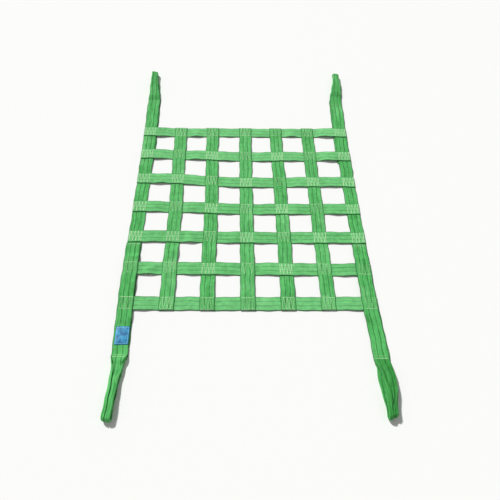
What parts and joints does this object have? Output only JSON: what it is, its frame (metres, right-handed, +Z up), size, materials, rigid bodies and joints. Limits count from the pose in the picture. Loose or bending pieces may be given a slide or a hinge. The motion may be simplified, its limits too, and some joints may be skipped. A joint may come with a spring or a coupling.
{
  "type": "cargo lifting net",
  "caption": "Square mesh of flat woven straps, crossed over and under and sewn, lying flat, with a lifting leg and a folded eye at each corner.",
  "frame": {"origin": "middle of the net's whole outline, on the floor that it lies on", "axes": "+Y along the lengthwise straps towards the far pair of legs, +X across the net to the right, +Z up from the floor"},
  "size_m": [1.0468, 1.8813, 0.0364],
  "materials": {
    "webbing": "woven polyester webbing, matt, with darker lengthwise lines and pale green thread",
    "label": "smooth coated label, satin"
  },
  "bodies": {
    "root": {"outer_strap_left": "webbing", "outer_strap_right": "webbing", "lengthwise_strap_2": "webbing", "lengthwise_strap_3": "webbing", "lengthwise_strap_4": "webbing", "lengthwise_strap_5": "webbing", "lengthwise_strap_6": "webbing", "cross_strap_1": "webbing", "cross_strap_2": "webbing", "cross_strap_3": "webbing", "cross_strap_4": "webbing", "cross_strap_5": "webbing", "cross_strap_6": "webbing", "cross_strap_7": "webbing", "label": "label"}
  },
  "joints": []
}
